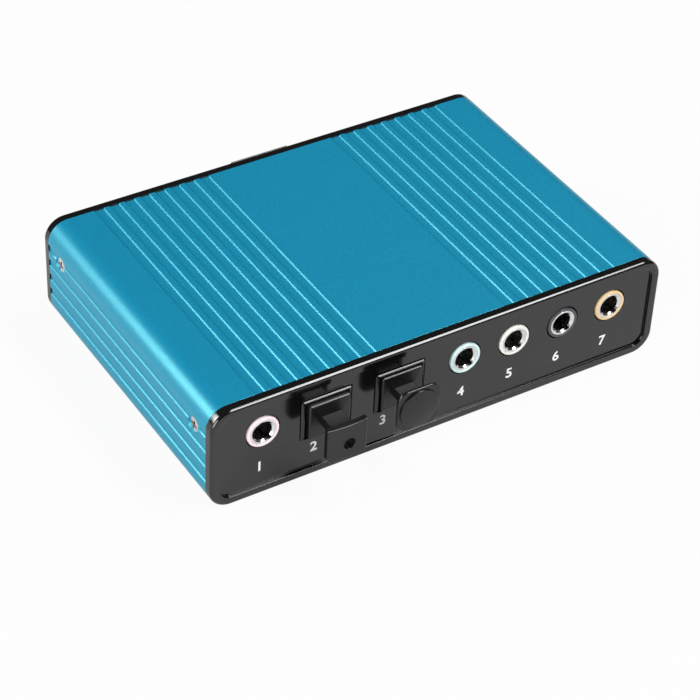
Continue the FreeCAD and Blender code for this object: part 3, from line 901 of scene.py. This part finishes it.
@dataclass
class DustPlug:
    """Dust plug of an optical port: block, ramp, stem and grip plate."""

    name: str
    body: Body
    out: float
    grip: tuple[float, float]
    drop: float
    thick: float
    corner: float
    corner_segments: int = 12
    nose: tuple[float, float] = (0.85 * MM, 8.05 * MM)
    play: tuple[float, float] = (0.85 * MM, 0.475 * MM)
    block_edge: float = 0.4 * MM
    stem: tuple[float, float] = (4.0 * MM, 1.8 * MM)
    stem_top: float = 1.2 * MM
    stem_edge: float = 0.12 * MM
    ramp: float = 0.4 * MM
    sunk: float = 0.3 * MM
    grip_edge: float = 0.2 * MM
    proud: float = 0.0
    rounding: int = 8

    @property
    def node(self) -> str:
        """Name of the plug's CAD node."""
        return f"{self.name}_dust_plug"

    @property
    def port(self) -> tuple[Vector, Vector]:
        """Lowest and highest corner of the port's housing."""
        return corners(f"optical_{self.name}_housing")

    @property
    def middle(self) -> Vector:
        """Middle of the front face of the port's nose."""
        low, high = self.port
        sill, height = self.nose
        return Vector(((low.x + high.x) / 2, low.y, board_top() + sill + height / 2))

    @property
    def half_block(self) -> tuple[float, float]:
        """Half of the block's width and height."""
        low, high = self.port
        return (high.x - low.x) / 2 - self.play[0], self.nose[1] / 2 - self.play[1]

    @property
    def face(self) -> float:
        """Front of the grip plate along Y."""
        return corners(self.node)[0].y + self.proud

    @property
    def grip_z(self) -> float:
        """Height of the grip plate's middle."""
        return self.middle.z - self.drop

    def build(self) -> None:
        """Make the plug."""
        bm = bmesh.new()
        self.block(bm)
        piece = settle(f"{self.node}_moulding", bm, Finish.PLUG, self.body, [self.node])
        for part in (self.ramp_solid, self.stem_solid, self.plate):
            bm = bmesh.new()
            part(bm)
            combine(piece, bm, Join.ADD)
        self.mark(piece)
        polish(piece, FINE)

    def block(self, bm: BMesh) -> None:
        """Block that fills the port.

        Args:
            bm: Mesh to add to.
        """
        m = self.middle
        half, tall = self.half_block
        add_box(bm, (m.x - half, m.y - self.out, m.z - tall),
                (m.x + half, corners(self.node)[1].y, m.z + tall), self.block_edge, self.rounding)

    def ramp_solid(self, bm: BMesh) -> None:
        """Ramp from the top edge of the block down to the stem.

        Args:
            bm: Empty mesh to make it in.
        """
        m = self.middle
        wide, tall = (half - self.block_edge for half in self.half_block)
        narrow = self.stem[0] / 2
        front = m.y - self.out
        back = front + self.sunk
        past = self.sunk / (tall - self.stem_top)
        tip = narrow - (wide - narrow) * past
        foot = self.stem_top - self.sunk
        side = [(wide, front, tall), (wide, back, tall),
                (tip, front - self.ramp * (1 + past), foot), (tip, back, foot)]
        verts = [bm.verts.new((m.x + sign * x, y, m.z + z)) for x, y, z in side for sign in SIGNS]
        bmesh.ops.convex_hull(bm, input=verts)
        bmesh.ops.recalc_face_normals(bm, faces=bm.faces)

    def stem_solid(self, bm: BMesh) -> None:
        """Stem between the block and the grip plate.

        Args:
            bm: Mesh to add to.
        """
        m = self.middle
        half, tall = self.stem[0] / 2, self.stem[1]
        top = m.z + self.stem_top
        add_box(bm, (m.x - half, self.face + self.thick / 2, top - tall),
                (m.x + half, m.y - self.out / 2, top), self.stem_edge, self.rounding)

    def plate(self, bm: BMesh) -> None:
        """Grip plate with rounded corners and rims.

        Args:
            bm: Empty mesh to make it in.
        """
        x, z = self.middle.x, self.grip_z
        half, tall = self.grip[0] / 2, self.grip[1] / 2
        add_box(bm, (x - half, self.face, z - tall), (x + half, self.face + self.thick, z + tall))
        uprights = [e for e in bm.edges if span(e) > MERGE and self.rounded(e)]
        round_edges(bm, uprights, self.corner, self.corner_segments)
        self.shape(bm)
        rims = [e for e in bm.edges if span(e) < MERGE]
        round_edges(bm, rims, self.grip_edge, self.rounding)

    def rounded(self, edge: BMEdge) -> bool:
        """Whether a corner of the grip plate is rounded."""
        return True

    def shape(self, bm: BMesh) -> None:
        """Change the outline of the grip plate; the plain one stays as it is."""

    def mark(self, piece: bpy.types.Object) -> None:
        """What tells the grip plates apart; each kind of plug has its own."""
        raise NotImplementedError


@dataclass
class HoledPlug(DustPlug):
    """Dust plug whose grip plate has a sagging top edge and a blind hole."""

    sag: float = 0.3 * MM
    sag_cuts: int = 19
    hole: float = 1.1 * MM
    hole_depth: float = 1.0 * MM
    hole_lip: float = 0.08 * MM
    hole_at: tuple[float, float] = (0.45 * MM, -0.65 * MM)
    hole_steps: int = 64

    def rounded(self, edge: BMEdge) -> bool:
        """Only the lower corners are rounded."""
        return edge.verts[0].co.z < self.grip_z

    def shape(self, bm: BMesh) -> None:
        """Let the top edge sag.

        Args:
            bm: Mesh of the grip plate.
        """
        x, top, half = self.middle.x, self.grip_z + self.grip[1] / 2, self.grip[0] / 2
        ridge = [e for e in bm.edges if all(top - v.co.z < MERGE for v in e.verts)
                 and abs(e.verts[0].co.x - e.verts[1].co.x) > MERGE]
        bmesh.ops.subdivide_edges(bm, edges=ridge, cuts=self.sag_cuts)
        for vert in bm.verts:
            if top - vert.co.z < MERGE:
                vert.co.z -= self.sag * (1.0 - ((vert.co.x - x) / half) ** 2)
        for sign in SIGNS:
            flat = [f for f in bm.faces if f.normal.y * sign > FACING]
            bmesh.ops.dissolve_faces(bm, faces=flat)

    def mark(self, piece: bpy.types.Object) -> None:
        """Cut the blind hole, with a softened rim.

        Args:
            piece: Plug to cut.
        """
        at = Vector((self.middle.x + self.hole_at[0], 0.0, self.grip_z + self.hole_at[1]))
        bore = lipped_bore(self.hole, self.hole_lip, flare=2, start=self.face - self.hole_lip,
                           face=self.face, end=self.face + self.hole_depth)
        bm = bmesh.new()
        turn(bm, bore, at, Y_AXIS, self.hole_steps, closed=False)
        combine(piece, bm, Join.CUT)


@dataclass
class PaddedPlug(DustPlug):
    """Dust plug whose grip plate carries a low round pad."""

    pad: float = 3.75 * MM
    pad_step: float = 0.3 * MM
    pad_rise: float = 0.3 * MM
    pad_edge: float = 0.1 * MM
    pad_steps: int = 96
    crown_steps: int = 8

    def mark(self, piece: bpy.types.Object) -> None:
        """Join on the pad: a straight side, a soft edge and a crown.

        Args:
            piece: Plug to join it to.
        """
        ball = (self.pad ** 2 + self.pad_rise ** 2) / (2 * self.pad_rise)
        top = self.face - self.pad_step - self.pad_rise
        reach = math.asin((self.pad - self.pad_edge) / ball)
        crown = [(ball * math.sin(a), top + ball * (1.0 - math.cos(a)))
                 for a in arc(reach, self.crown_steps)]
        shoulder = crown[-1][1] + self.pad_edge
        foot = self.face + self.thick / 2
        bend = (self.pad - ROUND * self.pad_edge, shoulder - (1.0 - ROUND) * self.pad_edge)
        bm = bmesh.new()
        turn(bm, crown + [bend, (self.pad, shoulder), (self.pad, foot), (0.0, foot)],
             Vector((self.middle.x, 0.0, self.grip_z)), Y_AXIS, self.pad_steps, closed=False)
        combine(piece, bm, Join.ADD)


@dataclass
class OpticalPort:
    """Optical port with its light element."""

    name: str
    element: str
    element_finish: Finish
    edge: float = 0.3 * MM
    edge_segments: int = 3

    def build(self) -> None:
        """Make the housing and dress the element."""
        node = f"optical_{self.name}_housing"
        piece = settle(f"{node}_moulding", cad_copy(node), Finish.PORT, Body.CASE, [node])
        eased(piece, self.edge, self.edge_segments)
        dress(self.element_finish, self.element)


@dataclass
class Jack:
    """Jack for a 3.5 mm plug: coloured housing with a nose ring, and a plated barrel."""

    name: str
    finish: Finish
    nose: float = 3.0 * MM
    nose_out: float = 1.65 * MM
    nose_edge: float = 0.16 * MM
    nose_clear: float = 0.6 * MM
    lip: float = 0.06 * MM
    lead: float = 0.3 * MM
    bore: float = 1.8 * MM
    slot_angle: float = math.radians(-54)
    slot_size: tuple[float, float, float] = (0.5 * MM, 4.2 * MM, 0.65 * MM)
    steps: int = 72
    bend_steps: int = 6

    @property
    def housing_node(self) -> str:
        """Name of the housing's CAD node."""
        return f"{self.name}_jack_housing"

    @property
    def bush_node(self) -> str:
        """Name of the barrel's CAD node."""
        return f"{self.name}_jack_bush"

    @property
    def axis(self) -> Vector:
        """Middle of the barrel."""
        return centre_of(self.bush_node)

    @property
    def outer(self) -> float:
        """Outer radius of the barrel."""
        low, high = corners(self.bush_node)
        return (high.x - low.x) / 2

    @property
    def front(self) -> float:
        """Front of the nose ring along Y."""
        return corners(self.housing_node)[0].y

    def build(self) -> None:
        """Make the housing, its nose ring and the barrel."""
        self.housing()
        self.ring()
        self.barrel()
        dress(Finish.CONTACT, f"{self.name}_jack_contacts")

    def housing(self) -> None:
        """Moulded housing up to the root of the nose ring."""
        node = self.housing_node
        piece = settle(f"{node}_moulding", cad_copy(node), self.finish, Body.CASE, [node])
        at, reach = self.axis, self.nose + self.nose_clear
        cutter = bmesh.new()
        add_box(cutter, (at.x - reach, self.front - self.lead, at.z - reach),
                (at.x + reach, self.front + self.nose_out, at.z + reach))
        combine(piece, cutter, Join.CUT)
        polish(piece)

    def ring(self) -> None:
        """Nose ring that shows in the cap."""
        inner, front, e, lip = self.outer, self.front, self.nose_edge, self.lip
        root = front + self.nose_out
        bend = [(self.nose - e + e * math.sin(a), front + e - e * math.cos(a))
                for a in arc(math.pi / 2, self.bend_steps)]
        mouth = [(inner, root), (inner, front + lip), (inner + lip, front)]
        bm = bmesh.new()
        turn(bm, mouth + bend + [(self.nose, root)], self.axis, Y_AXIS, self.steps)
        polish(settle(f"{self.name}_jack_nose", bm, self.finish, Body.CASE, [self.housing_node]))

    def barrel(self) -> None:
        """Turn the plated barrel and cut the slot of its contact."""
        node = self.bush_node
        low, high = corners(node)
        section = [(self.bore + self.lead, low.y), (self.outer - self.lip, low.y),
                   (self.outer, low.y + self.lip), (self.outer, high.y),
                   (self.bore, high.y), (self.bore, low.y + self.lead)]
        bm = bmesh.new()
        turn(bm, section, self.axis, Y_AXIS, self.steps)
        piece = settle(f"{node}_barrel", bm, Finish.BUSH, Body.CASE, [node])
        deep, long, wide = self.slot_size
        start = Vector((self.axis.x, low.y - self.lip + long / 2, self.axis.z))
        place = (Matrix.Translation(start) @ Matrix.Rotation(-self.slot_angle, 4, "Y")
                 @ Matrix.Translation((self.bore, 0.0, 0.0)))
        combine(piece, turned_box((2 * deep, long, wide), place), Join.CUT)
        polish(piece)


@dataclass
class SideScrew:
    """Countersunk cross-head screw in a side wall."""

    node: str
    steps: int = 48
    crown: float = 0.1 * MM
    crown_share: float = 0.7
    shank_share: float = 0.6
    sink: float = 0.8 * MM
    cross_length: float = 1.75 * MM
    cross_width: float = 0.42 * MM
    cross_depth: float = 0.55 * MM
    cross_turn: float = 0.25

    def build(self) -> None:
        """Turn the screw and cut its cross."""
        low, high = corners(self.node)
        centre = centre_of(self.node)
        side = 1.0 if centre.x > 0 else -1.0
        face, tip = (high.x, low.x) if side > 0 else (low.x, high.x)
        head = (high.z - low.z) / 2
        shank = head * self.shank_share
        section = [(0.0, face), (head * self.crown_share, face), (head, face - side * self.crown),
                   (shank, face - side * self.sink), (shank, tip), (0.0, tip)]
        bm = bmesh.new()
        turn(bm, section, centre, X_AXIS, self.steps, closed=False)
        piece = settle(f"{self.node}_head", bm, Finish.SCREW, Body.CASE, [self.node])
        self.cut_cross(piece, Vector((face, centre.y, centre.z)))
        polish(piece)

    def cut_cross(self, piece: bpy.types.Object, at: Vector) -> None:
        """Cut the cross recess.

        Args:
            piece: Screw to cut.
            at: Middle of the head's face.
        """
        size = (2 * self.cross_depth, self.cross_length, self.cross_width)
        for angle in (self.cross_turn, self.cross_turn + math.pi / 2):
            place = Matrix.Translation(at) @ Matrix.Rotation(angle, 4, "X")
            combine(piece, turned_box(size, place), Join.CUT)


@dataclass
class Numeral:
    """Plain number printed on the cap below a port."""

    digit: int
    place: tuple[float, float]
    height: float = 1.95 * MM
    height_share: float = 0.7
    bold: float = 0.06 * MM
    ink: float = 0.012 * MM
    resolution: int = 8
    merge: float = MERGE / 10

    def build(self) -> None:
        """Print the number on the recessed field."""
        bm = self.outline()
        x, z = self.place
        field_y = corners("front_panel")[0].y + FIELD_DEPTH
        place = (Matrix.Translation((x, field_y - self.ink / 2, z))
                 @ Matrix.Rotation(math.pi / 2, 4, "X"))
        bmesh.ops.transform(bm, matrix=place, verts=bm.verts)
        settle(f"numeral_{self.digit}", bm, Finish.PRINT, Body.CASE)

    def outline(self) -> BMesh:
        """Make the number as a thin flat mesh.

        Returns:
            The mesh, around the origin.
        """
        curve = bpy.data.curves.new(f"numeral_{self.digit}", "FONT")
        curve.body = str(self.digit)
        curve.align_x = "CENTER"
        curve.align_y = "CENTER"
        curve.size = self.height / self.height_share
        curve.offset = self.bold
        curve.extrude = self.ink / 2
        curve.resolution_u = self.resolution
        sample = add_object("sample", curve)
        mesh = finished_mesh(sample)
        bpy.data.objects.remove(sample)
        bpy.data.curves.remove(curve)
        bm = bmesh.new()
        bm.from_mesh(mesh)
        bpy.data.meshes.remove(mesh)
        bmesh.ops.remove_doubles(bm, verts=bm.verts, dist=self.merge)
        return bm


@dataclass
class UsbSocket:
    """USB type B socket at the rear."""

    edge: float = 0.1 * MM

    def build(self) -> None:
        """Make the shell and the insulator, and dress the contacts."""
        for node, finish in (("usb_shell", Finish.USB_STEEL), ("usb_insulator", Finish.USB_BLACK)):
            piece = settle(f"{node}_finished", cad_copy(node), finish, Body.CASE, [node])
            eased(piece, self.edge)
        dress(Finish.CONTACT, "usb_contacts")


@dataclass
class Board:
    """Circuit board and the parts on it."""

    parts: dict[str, Finish] = field(default_factory=lambda: {
        "main_board": Finish.BOARD, "audio_chip": Finish.CHIP, "audio_chip_leads": Finish.TIN,
        "driver_chips": Finish.CHIP, "driver_chip_leads": Finish.TIN, "regulator": Finish.CHIP,
        "regulator_leads": Finish.TIN, "crystal": Finish.CRYSTAL,
        "output_capacitors": Finish.TANTALUM, "output_capacitor_leads": Finish.TIN,
        "supply_capacitor_can": Finish.CAN, "supply_capacitor_foot": Finish.FOOT,
        "chip_capacitors": Finish.CERAMIC, "chip_resistors": Finish.CHIP,
    })

    def build(self) -> None:
        """Dress the parts."""
        for node, finish in self.parts.items():
            dress(finish, node)


@dataclass
class Softbox:
    """Rectangular soft light."""

    name: str
    place: Vector
    sides: tuple[float, float]
    glow: float
    along: Vector = field(default_factory=Y_AXIS.copy)
    aim: Vector = field(default_factory=lambda: Vector((0.0, 0.0, 0.01)))

    def build(self) -> None:
        """Add the light; its power follows from its area and the glow of its face."""
        data = bpy.data.lights.new(self.name, "AREA")
        data.shape = "RECTANGLE"
        data.size, data.size_y = self.sides
        data.energy = self.glow * math.pi * self.sides[0] * self.sides[1]
        back = (self.place - self.aim).normalized()
        across = self.along.cross(back).normalized()
        turned = Matrix((across, back.cross(across), back)).transposed()
        lamp = add_object(self.name, data)
        lamp.matrix_world = Matrix.Translation(self.place) @ turned.to_4x4()


@dataclass
class Studio:
    """Pale floor, soft light and the photograph's camera."""

    floor_half: float = 12.0
    floor_white: float = 0.5
    floor_roughness: float = 0.9
    seen_share: float = 0.94
    mirrored_share: float = 0.45
    world: float = 0.06
    focal: float = 124.973
    sensor: float = 36.0
    clip: float = 0.01
    eye: Vector = field(default_factory=lambda: Vector((-0.187203, -0.287402, 0.272806)))
    right: Vector = field(default_factory=lambda: Vector((0.853125, -0.520264, 0.038771)))
    down: Vector = field(default_factory=lambda: Vector((-0.302102, -0.553236, -0.776315)))
    ahead: Vector = field(default_factory=lambda: Vector((0.425338, 0.650581, -0.629152)))
    lights: tuple[Softbox, ...] = field(default_factory=lambda: (
        Softbox("overhead", place=Vector((0.41, -0.30, 0.78)), sides=(0.26, 1.0), glow=15.0),
        Softbox("left_back", place=Vector((-0.615, 0.44, 0.39)), sides=(0.18, 0.44), glow=20.0,
                along=Vector((0.6, 0.0, 0.8))),
        Softbox("left_low", place=Vector((-0.78, 0.42, 0.27)), sides=(0.25, 0.5), glow=2.0,
                along=Vector((0.3, 0.0, 0.9))),
        Softbox("front_fill", place=Vector((-0.85, -0.5, 0.25)), sides=(0.6, 0.6), glow=8.0),
    ))

    def build(self) -> None:
        """Set up the stage."""
        self.floor()
        self.sky()
        for light in self.lights:
            light.build()
        self.camera()
        bpy.context.scene.view_settings.view_transform = "Standard"

    def floor(self) -> None:
        """Add the floor."""
        bm = bmesh.new()
        bmesh.ops.create_grid(bm, x_segments=1, y_segments=1, size=self.floor_half)
        mesh = mesh_of("floor", bm)
        mesh.materials.append(self.paper())
        floor = add_object("floor", mesh)

    def paper(self) -> bpy.types.Material:
        """Make the floor's material: nearly white to the camera, dimmer in reflections.

        Returns:
            The material.
        """
        g = Graph("floor_paper")
        g.set(Base_Color=(*(self.floor_white,) * 3, 1.0), Roughness=self.floor_roughness,
              Specular_IOR_Level=0.0)
        rays = g.add("LightPath").outputs
        mirrored = g.reckon("MAXIMUM", rays["Is Glossy Ray"], rays["Is Transmission Ray"])
        dimmed = g.reckon("MULTIPLY", mirrored, self.mirrored_share)
        share = g.reckon("MULTIPLY_ADD", rays["Is Camera Ray"], self.seen_share, dimmed)
        mix = g.add("MixShader")
        g.link(share, mix.inputs["Fac"])
        g.link(g.shader.outputs["BSDF"], mix.inputs[1])
        g.link(g.add("Emission").outputs["Emission"], mix.inputs[2])
        g.link(mix.outputs["Shader"], g.output.inputs["Surface"])
        return g.material

    def sky(self) -> None:
        """Dim, even surroundings."""
        world = bpy.data.worlds.new("studio")
        world.use_nodes = True
        back = world.node_tree.nodes["Background"]
        back.inputs["Color"].default_value = (1.0, 1.0, 1.0, 1.0)
        back.inputs["Strength"].default_value = self.world
        bpy.context.scene.world = world

    def camera(self) -> None:
        """Place the camera at the photograph's viewpoint."""
        data = bpy.data.cameras.new("camera")
        data.lens = self.focal
        data.sensor_width = self.sensor
        data.clip_start = self.clip
        axes = Matrix((self.right, -self.down, -self.ahead)).transposed()
        camera = add_object("camera", data)
        camera.matrix_world = Matrix.Translation(self.eye) @ axes.to_4x4()
        bpy.context.scene.camera = camera


def main() -> None:
    """Build the sound card and its studio."""
    logging.basicConfig(level=logging.INFO, format="%(name)s %(message)s")
    Sleeve().build()
    FrontCap("front_panel", side=-1.0).build()
    RearCap("rear_panel", side=1.0).build()
    for end in ("front", "rear"):
        for side in ("left", "right"):
            SideScrew(f"screw_{end}_{side}").build()
    for name, finish in JACKS.items():
        Jack(name, finish).build()
    OpticalPort("output", "light_emitter", Finish.CLEAR).build()
    OpticalPort("input", "light_detector", Finish.DARK).build()
    HoledPlug("output", Body.OUTPUT_PLUG, out=1.0 * MM, grip=(7.6 * MM, 7.1 * MM), drop=1.08 * MM,
              thick=1.2 * MM, corner=1.2 * MM).build()
    PaddedPlug("input", Body.INPUT_PLUG, out=0.6 * MM, grip=(8.4 * MM, 8.3 * MM), drop=0.28 * MM,
               thick=0.6 * MM, corner=2.0 * MM, proud=0.6 * MM).build()
    for digit, (x, z) in enumerate(NUMERALS, start=1):
        Numeral(digit, (x * MM, z * MM)).build()
    UsbSocket().build()
    Board().build()
    Studio().build()


if __name__ == "__main__":
    main()
